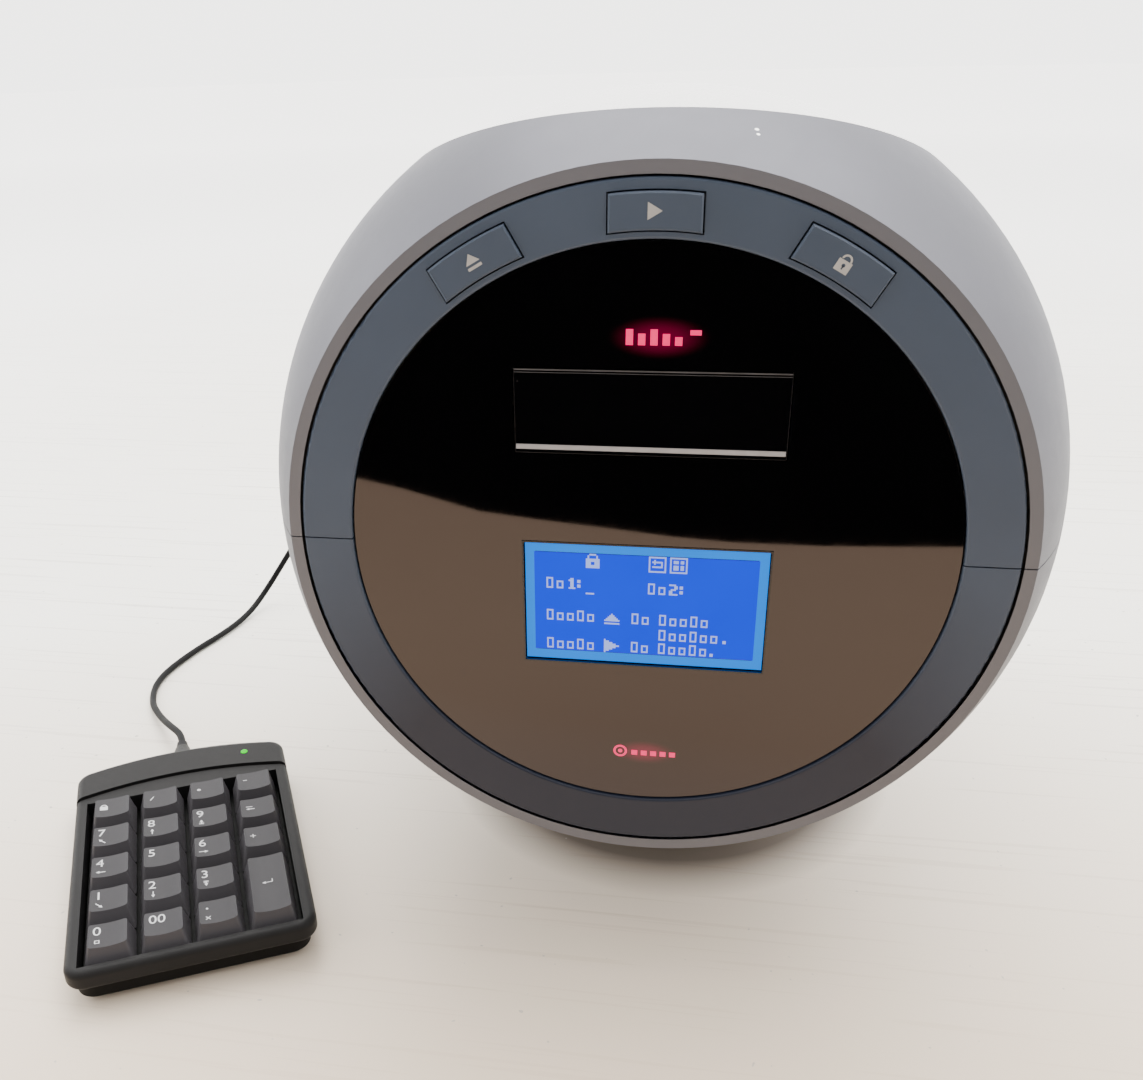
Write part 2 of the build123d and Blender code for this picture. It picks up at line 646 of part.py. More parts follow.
def key(column, row, rows=1):
    """Hollow tapered cap with a dished top and a plunger."""
    x = (column - 1.5) * KEY_PITCH
    y = FIRST_ROW - KEY_PITCH * (row + (rows - 1) / 2)
    extra = KEY_PITCH * (rows - 1)

    def taper(inset, low, high):
        base = Plane((0, 0, low)) * RectangleRounded(17.6 - 2 * inset, 18.1 - 2 * inset + extra, 1.0)
        top = Plane((0.4, 0, high)) * RectangleRounded(13.2 - 2 * inset, 11.6 - 2 * inset + extra, 1.0)
        return loft([base, top])

    cap = taper(0, KEY_LOW, KEY_TOP)
    dish_r = 32.0
    cap -= Pos(0.4, 0, KEY_TOP + dish_r - 0.75) * Rot(90, 0, 0) * Cylinder(dish_r, 60)
    cap -= taper(1.3, KEY_LOW - 0.001, KEY_TOP - 2.0)
    low = KEYPAD_BOARD_TOP + KEY_TRAVEL + 0.3
    cap += Pos(0, 0, (KEY_TOP - 1.5 + low) / 2) * Cylinder(2.5, KEY_TOP - 1.5 - low)
    return Pos(x, y, 0) * cap


KEYS = {
    "key_num_lock": (0, 0), "key_divide": (1, 0), "key_multiply": (2, 0), "key_minus": (3, 0),
    "key_7": (0, 1), "key_8": (1, 1), "key_9": (2, 1), "key_backspace": (3, 1),
    "key_4": (0, 2), "key_5": (1, 2), "key_6": (2, 2), "key_plus": (3, 2),
    "key_1": (0, 3), "key_2": (1, 3), "key_3": (2, 3), "key_enter": (3, 3, 2),
    "key_0": (0, 4), "key_00": (1, 4), "key_decimal": (2, 4),
}


# ---------------------------------------------------------------- keypad cord and its plug
CORD_ROUTE = [
    (-214.2, -59.77, 11.0),
    (-217.7, -52.58, 11.0),
    (-227.0, -44.2, 9.2),
    (-239.5, -31.0, 5.2),
    (-253.0, -14.0, 2.4),
    (-260.0, 9.0, 1.9),
    (-253.5, 38.0, 1.9),
    (-243.5, 63.0, 1.9),
    (-238.5, 84.0, 2.6),
    (-234.0, 101.0, 9.0),
    (-224.0, 111.5, 25.0),
    (-207.0, 124.0, 52.0),
    (-180.0, 142.0, 90.0),
    (-148.0, 160.0, 127.0),
    (-112.0, 174.0, 156.0),
    (-80.0, 177.0, 171.0),
    (-60.0, 161.0, CENTRE_Z + USB_Z[0]),
    (-60.0, 143.8, CENTRE_Z + USB_Z[0]),
]


def keypad_cord():
    points = [Vector(*p) for p in CORD_ROUTE]
    radii = []
    for before, here, after in zip(points, points[1:], points[2:]):
        turn = (here - before).get_angle(after - here)
        shorter = min((here - before).length, (after - here).length)
        radii.append(0.45 * shorter / tan(radians(turn / 2)))
    print("cord radii", [round(r, 1) for r in radii])
    path = FilletPolyline(*points, radius=radii)
    section = Plane(origin=path @ 0, z_dir=path % 0) * Circle(CORD_D / 2)
    tube = sweep(section, path=path)
    expected = pi * (CORD_D / 2) ** 2 * path.length
    print("cord length", round(path.length, 1), "volume ratio", round(tube.volume / expected, 4))
    return tube


def usb_plug():
    """Metal mouth in the socket, moulded grip and tapered relief."""
    z = CENTRE_Z + USB_Z[0]
    y = PANEL_OUT
    mouth = block(USB_X - 6.0, USB_X + 6.0, y - 11.5, y + 2, z - 2.25, z + 2.25)
    mouth -= block(USB_X - 5.6, USB_X + 5.6, y - 12, y + 1.5, z - 0.1, z + 1.95)
    grip = block(USB_X - 8, USB_X + 8, y + 1.2, y + 27, z - 4.2, z + 4.2)
    grip = fillet(grip.edges().filter_by(Axis.Y), 2.5)
    relief = Pos(USB_X, y + 32, z) * Rot(-90, 0, 0) * Cone(3.4, 2.3, 10)
    return mouth + grip + relief


# ---------------------------------------------------------------- write every node
def write(name, shape):
    solids = shape if isinstance(shape, list) else list(shape.solids())
    node = solids[0] if len(solids) == 1 else Compound(children=solids)
    export_step(node, f"parts/{name}.step")


def main():
    os.makedirs("parts", exist_ok=True)
    instrument = (
        base_pan, base_pad, lower_shell, upper_shell, top_cover, front_window, lcd_module, front_frame,
        button_board, stage_frame, guide_rods, sample_tray, tray_front, leadscrew_nut, leadscrew,
        tray_motor, objective_lens, camera_module, light_source, main_board, power_supply, fan_frame,
        fan_rotor, rear_panel, power_inlet, switch_housing, switch_rocker, usb_sockets, panel_screws,
        usb_plug, keypad_cord,
    )
    for make in instrument:
        write(make.__name__, make())
    write("ring_upper", trim_ring(1))
    write("ring_lower", trim_ring(-1))
    for name, step in (("button_eject", 1), ("button_start", 0), ("button_lock", -1)):
        write(name, button(step))
    for make in (keypad_base, keypad_top, keypad_board, keypad_feet, keypad_strain_relief):
        shape = make()
        solids = shape if isinstance(shape, list) else list(shape.solids())
        write(make.__name__, [PLACE * solid for solid in solids])
    for name, spot in KEYS.items():
        write(name, PLACE * key(*spot))


main()
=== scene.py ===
"""Looks for the ball-shaped cell counter and its tethered keypad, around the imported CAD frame."""

from math import atan2, cos, hypot, pi, radians, sin, sqrt

import bmesh
import bpy
from mathutils import Matrix, Vector


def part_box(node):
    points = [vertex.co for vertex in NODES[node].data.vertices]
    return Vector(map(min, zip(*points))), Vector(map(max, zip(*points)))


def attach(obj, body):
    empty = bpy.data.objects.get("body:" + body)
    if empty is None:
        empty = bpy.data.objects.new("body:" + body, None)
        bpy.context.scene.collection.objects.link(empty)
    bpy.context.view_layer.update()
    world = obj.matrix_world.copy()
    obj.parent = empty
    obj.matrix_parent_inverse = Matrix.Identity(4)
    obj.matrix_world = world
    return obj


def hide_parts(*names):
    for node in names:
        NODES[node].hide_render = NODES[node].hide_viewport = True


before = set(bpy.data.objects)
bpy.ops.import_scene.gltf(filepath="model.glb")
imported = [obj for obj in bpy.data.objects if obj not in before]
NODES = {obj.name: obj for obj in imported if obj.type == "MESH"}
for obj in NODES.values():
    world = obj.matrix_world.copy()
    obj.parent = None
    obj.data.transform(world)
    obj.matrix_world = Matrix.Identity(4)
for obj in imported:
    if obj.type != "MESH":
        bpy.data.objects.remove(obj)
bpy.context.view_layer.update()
INSTRUMENT = "instrument"
COLLECTION = bpy.context.scene.collection
MM = 0.001

# ---------------------------------------------------------------- places, in millimetres
RING_SPLIT_HALF = 0.2
PANEL_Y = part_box("ring_upper")[0].y / MM
CENTRE_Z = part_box("ring_upper")[0].z / MM - RING_SPLIT_HALF
BUTTON_FACE = -1.2         # depths behind the ring's face; the buttons stand proud of it
TRAY_FACE = 1.0
GLASS_FACE = 2.2
WINDOW_FACE = 1.0
BUTTON_RADIUS = 96.05      # from the panel's centre to a button's middle
BUTTON_STEP = 30           # degrees between neighbouring buttons
KEYPAD_PLACE = Matrix.Translation((-178.3, -133.5, 0)) @ Matrix.Rotation(radians(25.96), 4, "Z")
KEY_PITCH = 19.05
KEY_TOP = 21.2
KEY_DISH_RADIUS = 32.0
KEY_DISH_DEPTH = 0.75
FIRST_ROW = 29.0

# ---------------------------------------------------------------- camera
CAMERA_PLACE = (0.0135, -0.4614, 0.3027)
CAMERA_PITCH = radians(25.97)
CAMERA_ROLL = radians(-1.62)
CAMERA_YAW = radians(10.11)
SENSOR_WIDTH = 36.0
LENS = 35.4236
LENS_SHIFT_ACROSS = 0.053193
LENS_SHIFT_UP = 0.034646


def make_camera():
    """A view down onto the front panel from close by, a little to its right."""
    ahead = Vector((0, cos(CAMERA_PITCH), -sin(CAMERA_PITCH)))
    right = Vector((1, 0, 0))
    down = ahead.cross(right)
    across = cos(CAMERA_ROLL) * right - sin(CAMERA_ROLL) * down
    downward = sin(CAMERA_ROLL) * right + cos(CAMERA_ROLL) * down
    swing = Matrix.Rotation(CAMERA_YAW, 3, "Z")
    axes = Matrix([swing @ across, swing @ -downward, swing @ -ahead]).transposed()
    data = bpy.data.cameras.new("camera")
    data.sensor_width = SENSOR_WIDTH
    data.lens = LENS
    data.shift_x = LENS_SHIFT_ACROSS
    data.shift_y = LENS_SHIFT_UP
    data.clip_start = 0.01
    data.clip_end = 50.0
    camera = bpy.data.objects.new("camera", data)
    camera.matrix_world = Matrix.Translation(CAMERA_PLACE) @ axes.to_4x4()
    COLLECTION.objects.link(camera)
    bpy.context.scene.camera = camera


make_camera()

# ---------------------------------------------------------------- keypad cord
CORD_ROUTE = [
    (-214.2, -59.77, 11.0),
    (-217.7, -52.58, 11.0),
    (-227.0, -44.2, 9.2),
    (-239.5, -31.0, 5.2),
    (-253.0, -14.0, 2.4),
    (-260.0, 9.0, 1.9),
    (-253.5, 38.0, 1.9),
    (-243.5, 63.0, 1.9),
    (-238.5, 84.0, 2.6),
    (-234.0, 101.0, 9.0),
    (-224.0, 111.5, 25.0),
    (-207.0, 124.0, 52.0),
    (-180.0, 142.0, 90.0),
    (-148.0, 160.0, 127.0),
    (-112.0, 174.0, 156.0),
    (-80.0, 177.0, 171.0),
    (-60.0, 161.0, 172.7),
    (-60.0, 143.8, 172.7),
]
CORD_DIAMETER = 3.2 * MM
CORD_STEPS = 16
CORD_POINT_RADIUS = 0.1 * MM    # widens the curve's box, so the bevel makes up the diameter


def make_cord():
    data = bpy.data.curves.new("keypad_lead", "CURVE")
    data.dimensions = "3D"
    spline = data.splines.new("NURBS")
    spline.points.add(len(CORD_ROUTE) - 1)
    for point, place in zip(spline.points, CORD_ROUTE):
        point.co = (place[0] * MM, place[1] * MM, place[2] * MM, 1.0)
        point.radius = CORD_POINT_RADIUS
    spline.order_u = 3
    spline.use_endpoint_u = True
    spline.resolution_u = CORD_STEPS
    data.resolution_u = CORD_STEPS
    data.bevel_depth = CORD_DIAMETER / 2 / CORD_POINT_RADIUS
    data.bevel_resolution = 6
    data.use_fill_caps = True
    lead = bpy.data.objects.new("keypad_lead", data)
    COLLECTION.objects.link(lead)
    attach(lead, INSTRUMENT)
    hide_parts("keypad_cord")
    return lead


CORD = make_cord()


# ---------------------------------------------------------------- materials
NOISE_MIDDLE = (0.3, 0.7)             # most of a noise texture's values
SCUFF_STRETCH = (1.0, 0.35, 9.0)
SCUFF_RANGE = (0.70, 0.78)
DUST_RANGE = (0.80, 0.86)
DUST_GREY = (0.5, 0.5, 0.5)
# painted side light: over this range of the normal, side faces turn lighter than tops
PAINTED_SIDE_RANGE = (0.93, 0.75)             # upward part of the normal, from a top to a side
BRUSH_STRENGTH = 0.35
BUMP_DISTANCE = 0.2 * MM


def _node(tree, kind, **settings):
    node = tree.nodes.new(kind)
    for name, value in settings.items():
        setattr(node, name, value)
    return node


def _coordinates(tree):
    """Object coordinates, in metres."""
    return _node(tree, "ShaderNodeTexCoord").outputs["Object"]


def _mapped(tree, coords, scale, location=(0, 0, 0), turn=0.0):
    """Coordinates stretched, moved and turned about Z."""
    mapping = _node(tree, "ShaderNodeMapping")
    mapping.inputs["Location"].default_value = location
    mapping.inputs["Rotation"].default_value = (0, 0, turn)
    mapping.inputs["Scale"].default_value = scale
    tree.links.new(coords, mapping.inputs["Vector"])
    return mapping.outputs["Vector"]


def _distance(tree, coords, centre):
    node = _node(tree, "ShaderNodeVectorMath", operation="DISTANCE")
    node.inputs[1].default_value = centre
    tree.links.new(coords, node.inputs[0])
    return node.outputs["Value"]


def _length(tree, vector):
    node = _node(tree, "ShaderNodeVectorMath", operation="LENGTH")
    tree.links.new(vector, node.inputs[0])
    return node.outputs["Value"]


def _noise(tree, coords, scale, detail, rough):
    """Noise; scale is in features per metre."""
    noise = _node(tree, "ShaderNodeTexNoise")
    noise.inputs["Scale"].default_value = scale
    noise.inputs["Detail"].default_value = detail
    noise.inputs["Roughness"].default_value = rough
    tree.links.new(coords, noise.inputs["Vector"])
    return noise.outputs["Fac"]


def _range(tree, value, low, high, to_low=0.0, to_high=1.0, **settings):
    node = _node(tree, "ShaderNodeMapRange", **settings)
    node.inputs["From Min"].default_value = low
    node.inputs["From Max"].default_value = high
    node.inputs["To Min"].default_value = to_low
    node.inputs["To Max"].default_value = to_high
    tree.links.new(value, node.inputs["Value"])
    return node.outputs["Result"]


def _mix(tree, factor, a, b):
    """Colour mix; a and b are colours or sockets, at the node's own colour inputs."""
    node = _node(tree, "ShaderNodeMix", data_type="RGBA")
    for socket, value in ((node.inputs[6], a), (node.inputs[7], b)):
        if hasattr(value, "is_linked"):
            tree.links.new(value, socket)
        else:
            socket.default_value = (*value, 1.0)
    tree.links.new(factor, node.inputs[0])
    return node.outputs[2]


def _bumps(tree, heights):
    """Normal from a stack of height textures, each with its own strength."""
    normal = None
    for height, strength in heights:
        bump = _node(tree, "ShaderNodeBump")
        bump.inputs["Strength"].default_value = strength
        bump.inputs["Distance"].default_value = BUMP_DISTANCE
        tree.links.new(height, bump.inputs["Height"])
        if normal:
            tree.links.new(normal, bump.inputs["Normal"])
        normal = bump.outputs["Normal"]
    return normal


def tinted(colour, factor):
    return tuple(min(1.0, c * factor) for c in colour)


def new_material(name):
    """Material with its node tree and its shader."""
    material = bpy.data.materials.new(name)
    material.use_nodes = True
    return material, material.node_tree, material.node_tree.nodes["Principled BSDF"]


def surface(
    name, colour, rough, metallic=0.0, mottle=0.06, patch=25.0, rough_vary=0.06,
    grain=0.0, grain_scale=2500.0, scuff=0.0, dust=0.0, coat=0.0, coat_rough=0.08,
    specular=0.5, specular_tint=(1.0, 1.0, 1.0), ior=1.5, brushed=None, spots=(), painted_side_light=None,
    emit=None, emit_strength=1.0,
):
    """Moulded, painted or metal surface: mottled colour, uneven roughness, grain, scuffs and dust; spots of
    colour, and where asked a painted side light that makes side faces lighter than tops.
    """
    material, tree, shader = new_material(name)
    coords = _coordinates(tree)

    patches = _range(tree, _noise(tree, coords, patch, 4.0, 0.55), *NOISE_MIDDLE)
    base = _mix(tree, patches, tinted(colour, 1 - mottle), tinted(colour, 1 + mottle))
    fine = _noise(tree, coords, patch * 9, 6.0, 0.65)
    roughness = _range(tree, fine, 0.25, 0.75, max(0.02, rough - rough_vary), min(1.0, rough + rough_vary))
    if scuff:
        lines = _noise(tree, _mapped(tree, coords, SCUFF_STRETCH), 60.0, 3.0, 0.7)
        base = _mix(tree, _range(tree, lines, *SCUFF_RANGE, 0.0, scuff), base, tinted(colour, 1.5))
    if dust:
        specks = _noise(tree, coords, 900.0, 2.0, 0.5)
        base = _mix(tree, _range(tree, specks, *DUST_RANGE, 0.0, dust), base, DUST_GREY)
    for centre, radius, paint in spots:
        mask = _range(tree, _distance(tree, coords, centre), radius, radius * 0.6)
        base = _mix(tree, mask, base, paint)
    # painted light: faces turned to the side get a lighter colour than the tops
    if painted_side_light:
        facing = _node(tree, "ShaderNodeSeparateXYZ")
        tree.links.new(_node(tree, "ShaderNodeNewGeometry").outputs["Normal"], facing.inputs[0])
        base = _mix(tree, _range(tree, facing.outputs["Z"], *PAINTED_SIDE_RANGE), base, painted_side_light)
    tree.links.new(base, shader.inputs["Base Color"])
    tree.links.new(roughness, shader.inputs["Roughness"])

    heights = []
    if grain:
        heights.append((_noise(tree, coords, grain_scale, 3.0, 0.6), grain))
    if brushed:
        heights.append((_noise(tree, _mapped(tree, coords, brushed), 1.0, 4.0, 0.7), BRUSH_STRENGTH))
    if heights:
        tree.links.new(_bumps(tree, heights), shader.inputs["Normal"])

    shader.inputs["Metallic"].default_value = metallic
    shader.inputs["IOR"].default_value = ior
    shader.inputs["Specular IOR Level"].default_value = specular
    shader.inputs["Specular Tint"].default_value = (*specular_tint, 1.0)
    shader.inputs["Coat Weight"].default_value = coat
    shader.inputs["Coat Roughness"].default_value = coat_rough
    if emit:
        tree.links.new(_mix(tree, patches, tinted(emit, 0.93), emit), shader.inputs["Emission Color"])
        shader.inputs["Emission Strength"].default_value = emit_strength
    return material


WINDOW_IOR = 1.85          # mirror-like tinted acrylic
WINDOW_TINT = (0.62, 0.57, 0.62)
# painted glow: the window's own face glows round the two lit marks, standing in for the marks' bloom
MARK_PAINTED_GLOWS = ((2.0, 63.0, 15.0, 6.5), (1.5, -71.0, 11.5, 5.0))      # x, height, half width, half height
PAINTED_GLOW_COLOUR = (0.30, 0.0, 0.045)
PAINTED_GLOW_STRENGTH = 0.55


def window_material():
    """Polished black acrylic with fine dust, and a painted glow on its face round the two lit marks."""
    material = surface(
        "window_black", (0.0006, 0.0006, 0.0008), 0.030, mottle=0.1, rough_vary=0.012, dust=0.30,
        ior=WINDOW_IOR, specular_tint=WINDOW_TINT,
    )
    tree = material.node_tree
    shader = tree.nodes["Principled BSDF"]
    coords = _coordinates(tree)
    painted_glows = []
    for x, height, half_x, half_z in MARK_PAINTED_GLOWS:
        place = _mapped(
            tree, coords, (1 / (half_x * MM), 0, 1 / (half_z * MM)),
            location=(-x / half_x, 0, -(CENTRE_Z + height) / half_z),
        )
        painted_glows.append(_range(tree, _length(tree, place), 1.0, 0.1, interpolation_type="SMOOTHERSTEP"))
    total = _node(tree, "ShaderNodeMath", operation="ADD")
    for glow, socket in zip(painted_glows, total.inputs):
        tree.links.new(glow, socket)
    # painted glow colour on the window round the marks
    lit = _mix(tree, total.outputs["Value"], (0.0, 0.0, 0.0), PAINTED_GLOW_COLOUR)
    tree.links.new(lit, shader.inputs["Emission Color"])
    shader.inputs["Emission Strength"].default_value = PAINTED_GLOW_STRENGTH
    return material


# spots of colour: centre and radius in metres, colour; white chips of wear on the silver, and a painted shade
# on the ring's lower part
CHIP_WHITE = (0.95, 0.95, 0.94)
CHIPS = [((0.0246, -0.1453, 0.2785), 0.0007, CHIP_WHITE), ((0.0250, -0.1473, 0.2776), 0.0006, CHIP_WHITE)]
# painted shade: a dark blue spot darkens the ring's lower part, standing in for the lower ring getting less
# light
RING_FOOT_PAINTED_SHADE = [((0.0, -0.16, 0.045), 0.15, (0.012, 0.016, 0.030))]
SILVER = surface(
    "satin_silver", (0.124, 0.126, 0.144), 0.42, metallic=0.30, mottle=0.025, patch=12.0, rough_vary=0.04,
    grain=0.10, grain_scale=5000.0, scuff=0.12, spots=CHIPS, specular=0.10,
    specular_tint=(0.26, 0.26, 0.27),
)
COVER = surface("cover_white", (0.86, 0.85, 0.84), 0.28, mottle=0.015, patch=10.0, coat=0.3, scuff=0.05)
PEDESTAL = surface("pedestal", (0.10, 0.10, 0.105), 0.55, grain=0.4)
RUBBER = surface("rubber", (0.025, 0.025, 0.025), 0.8, grain=0.5, grain_scale=1800.0)
SLATE = surface(
    "ring_slate", (0.039, 0.055, 0.086), 0.42, mottle=0.04, patch=30.0, grain=0.22, grain_scale=6000.0,
    scuff=0.06, specular=0.3, spots=RING_FOOT_PAINTED_SHADE,
)
WINDOW = window_material()
TRAY_BLACK = surface(
    "tray_black", (0.0008, 0.0008, 0.0011), 0.040, mottle=0.1, rough_vary=0.012, dust=0.3, ior=WINDOW_IOR,
    specular_tint=WINDOW_TINT,
)
INNER_BLACK = surface("inner_black", (0.02, 0.02, 0.022), 0.5, grain=0.2)
BOARD = surface("circuit_board", (0.02, 0.13, 0.055), 0.35, mottle=0.2, patch=220.0)
CASTING = surface("cast_metal", (0.55, 0.56, 0.57), 0.45, metallic=1.0, grain=0.4, grain_scale=1500.0)
STEEL = surface("steel", (0.6, 0.61, 0.62), 0.22, metallic=1.0, brushed=(60, 2500, 60))
ZINC = surface("zinc_plate", (0.66, 0.66, 0.64), 0.32, metallic=1.0, grain=0.15)
OPTICS = surface("optics_black", (0.02, 0.02, 0.024), 0.38, metallic=0.6, grain=0.15)
PANEL = surface("panel_grey", (0.16, 0.165, 0.17), 0.5, grain=0.5, grain_scale=3500.0, scuff=0.08)
MOTOR = surface("motor", (0.035, 0.035, 0.04), 0.5, brushed=(60, 1500, 60))
KEYPAD_SHELL = surface(
    "keypad_shell", (0.013, 0.0127, 0.013), 0.42, mottle=0.05, patch=40.0, grain=0.25, grain_scale=6000.0,
    scuff=0.05, specular=0.07,
)
KEYPAD_DARK = surface("keypad_dark", (0.004, 0.004, 0.004), 0.5, grain=0.3, specular=0.08)
# key caps: a painted side light gives their sides a lighter grey than their tops
KEY_CAP = surface(
    "key_cap", (0.0175, 0.0162, 0.019), 0.38, mottle=0.05, patch=60.0, rough_vary=0.06, grain=0.22,
    grain_scale=7000.0, specular=0.17, painted_side_light=(0.055, 0.052, 0.057),
)
CORD_BLACK = surface(
    "cord_black", (0.008, 0.008, 0.0085), 0.5, mottle=0.1, grain=0.15, scuff=0.05, specular=0.06,
)
CONNECTOR = surface("connector_black", (0.02, 0.02, 0.022), 0.3, grain=0.1)
LEGEND = surface("legend_print", (0.46, 0.46, 0.47), 0.5, mottle=0.05, patch=300.0)
ICON = surface("icon_print", (0.28, 0.277, 0.272), 0.5, mottle=0.05, patch=300.0)
# painted highlight: a light grey brushed strip standing in for the light caught on the rounded lower hinge
# edge of the tray door
STRIP = surface("painted_highlight_strip", (0.25, 0.25, 0.265), 0.4, mottle=0.08, patch=200.0, brushed=(2500, 60, 60))
# painted highlight: grey lines standing in for the light caught on the top edge of the tray's recess
TRAY_TOP_HIGHLIGHT = surface("painted_edge_highlight", (0.045, 0.045, 0.05), 0.35, mottle=0.3, patch=150.0)
FRAME_DARK = surface("display_frame", (0.012, 0.012, 0.014), 0.25, mottle=0.1)
SCREEN = surface(
    "screen_blue", (0.0, 0.02, 0.10), 0.25, mottle=0.05, patch=40.0, specular=0.0,
    emit=(0.008, 0.012, 1.0), emit_strength=1.15,
)
SCREEN_EDGE = surface(
    "screen_edge", (0.0, 0.03, 0.10), 0.25, mottle=0.05, patch=40.0, specular=0.0,
    emit=(0.0, 0.24, 1.0), emit_strength=1.15,
)
PIXEL = surface(
    "screen_pixel", (0.05, 0.06, 0.10), 0.3, mottle=0.05, emit=(0.30, 0.42, 1.0), emit_strength=1.3,
)
MARK = surface(
    "lit_mark", (0.3, 0.0, 0.05), 0.3, mottle=0.05, patch=400.0, emit=(1.0, 0.0, 0.13),
    emit_strength=1.35,
)
LED = surface(
    "led_green", (0.0, 0.02, 0.0), 0.3, mottle=0.05, patch=400.0, specular=0.05,
    emit=(0.0, 1.0, 0.0), emit_strength=1.5,
)

# every CAD node that isn't listed is a key cap
NODES_BY_FINISH = (
    (SILVER, "upper_shell lower_shell"),
    (COVER, "top_cover"),
    (PEDESTAL, "base_pan"),
    (RUBBER, "base_pad keypad_feet"),
    (SLATE, "ring_upper ring_lower button_eject button_start button_lock"),
    (WINDOW, "front_window"),
    (TRAY_BLACK, "tray_front"),
    (FRAME_DARK, "lcd_module"),
    (INNER_BLACK, "front_frame sample_tray leadscrew_nut fan_frame fan_rotor"),
    (BOARD, "button_board main_board"),
    (CASTING, "stage_frame light_source"),
    (STEEL, "guide_rods leadscrew"),
    (MOTOR, "tray_motor"),
    (OPTICS, "objective_lens camera_module"),
    (ZINC, "power_supply usb_sockets panel_screws"),
    (PANEL, "rear_panel"),
    (CONNECTOR, "power_inlet switch_housing switch_rocker"),
    (CORD_BLACK, "usb_plug keypad_strain_relief keypad_cord"),
    (KEYPAD_DARK, "keypad_base keypad_board"),
    (KEYPAD_SHELL, "keypad_top"),
)
NODE_FINISH = {name: finish for finish, names in NODES_BY_FINISH for name in names.split()}
for node_name, node in NODES.items():
    node.data.materials.clear()
    node.data.materials.append(NODE_FINISH.get(node_name, KEY_CAP))
    for face in node.data.polygons:
        face.material_index = 0
CORD.data.materials.append(CORD_BLACK)


# ---------------------------------------------------------------- thin printed and lit pieces
def new_piece(name, mesh, body, material):
    obj = bpy.data.objects.new(name, mesh)
    COLLECTION.objects.link(obj)
    obj.data.materials.clear()
    obj.data.materials.append(material)
    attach(obj, body)
    return obj


def prisms(name, outlines, place, body, material, thick=0.06):
    """Closed thin plates over simple outlines; place(x, y, height) gives millimetres in the frame."""
    mesh = bpy.data.meshes.new(name)
    build = bmesh.new()
    for outline in outlines:
        area = sum(a[0] * b[1] - b[0] * a[1] for a, b in zip(outline, outline[1:] + outline[:1]))
        points = outline if area > 0 else outline[::-1]
        lower = [build.verts.new(place(x, y, 0.0) * MM) for x, y in points]
        upper = [build.verts.new(place(x, y, thick) * MM) for x, y in points]
        build.faces.new(upper)
        build.faces.new(lower[::-1])
        for i, first in enumerate(lower):
            second = lower[(i + 1) % len(lower)]
            build.faces.new((first, second, upper[(i + 1) % len(upper)], upper[i]))
    bmesh.ops.recalc_face_normals(build, faces=build.faces)
    build.to_mesh(mesh)
    build.free()
    return new_piece(name, mesh, body, material)


def on_front(depth):
    """Place on the front view: x to the right, y up from the panel's centre, standing proud of depth."""
    return lambda x, y, height: Vector((x, PANEL_Y + depth - height, CENTRE_Z + y))


def on_button(angle):
    """Place on a button's face, turned with it about the panel's centre."""
    turn = radians(angle)

    def place(x, y, height):
        radial = y + BUTTON_RADIUS
        return Vector((
            x * cos(turn) - radial * sin(turn),
            PANEL_Y + BUTTON_FACE - height,
            CENTRE_Z + x * sin(turn) + radial * cos(turn),
        ))

    return place


def rectangle(x0, y0, x1, y1):
    return [(x0, y0), (x1, y0), (x1, y1), (x0, y1)]


def frame_strips(x0, y0, x1, y1, wide):
    """Rectangular outline from four strips."""
    return [
        rectangle(x0, y0, x1, y0 + wide),
        rectangle(x0, y1 - wide, x1, y1),
        rectangle(x0, y0 + wide, x0 + wide, y1 - wide),
        rectangle(x1 - wide, y0 + wide, x1, y1 - wide),
    ]


def arc_band(cx, cy, radius, wide, start, stop, steps=18):
    """Band along an arc, as quads."""
    quads = []
    for i in range(steps):
        a, b = (radians(start + (stop - start) * (i + j) / steps) for j in (0, 1))
        quads.append([
            (cx + (radius - wide) * cos(a), cy + (radius - wide) * sin(a)),
            (cx + radius * cos(a), cy + radius * sin(a)),
            (cx + radius * cos(b), cy + radius * sin(b)),
            (cx + (radius - wide) * cos(b), cy + (radius - wide) * sin(b)),
        ])
    return quads


def disc(cx, cy, radius, steps=20):
    angles = [2 * pi * i / steps for i in range(steps)]
    return [(cx + radius * cos(a), cy + radius * sin(a)) for a in angles]


def stroke(x0, y0, x1, y1, wide):
    """Straight line of some width."""
    length = hypot(x1 - x0, y1 - y0)
    nx, ny = -(y1 - y0) / length * wide / 2, (x1 - x0) / length * wide / 2
    return [(x0 + nx, y0 + ny), (x0 - nx, y0 - ny), (x1 - nx, y1 - ny), (x1 + nx, y1 + ny)]


def arrow(x0, y0, x1, y1, wide=0.38, head=1.35):
    """Line with a solid head at its second end."""
    angle = atan2(y1 - y0, x1 - x0)
    neck = (x1 - head * cos(angle), y1 - head * sin(angle))
    side = (sin(angle) * head * 0.5, -cos(angle) * head * 0.5)
    tip = [(x1, y1), (neck[0] + side[0], neck[1] + side[1]), (neck[0] - side[0], neck[1] - side[1])]
    return [stroke(x0, y0, *neck, wide), tip]


# button icons
EJECT = [[(-2.1, -0.4), (2.1, -0.4), (0.0, 2.3)], rectangle(-2.1, -1.9, 2.1, -1.1)]
START = [[(-1.9, -2.25), (1.9, 0.0), (-1.9, 2.25)]]
LOCK = [rectangle(-1.9, -2.4, 1.9, 0.7)] + arc_band(0.0, 0.9, 1.45, 0.5, -8, 180)
KEYHOLE = [disc(0.0, -0.6, 0.5), rectangle(-0.18, -1.7, 0.18, -0.6)]
prisms("icon_eject", EJECT, on_button(BUTTON_STEP), "button_eject", ICON)
prisms("icon_start", START, on_button(0), "button_start", ICON)
prisms("icon_lock", LOCK, on_button(-BUTTON_STEP), "button_lock", ICON)
prisms("icon_lock_keyhole", KEYHOLE, on_button(-BUTTON_STEP), "button_lock", SLATE, thick=0.09)
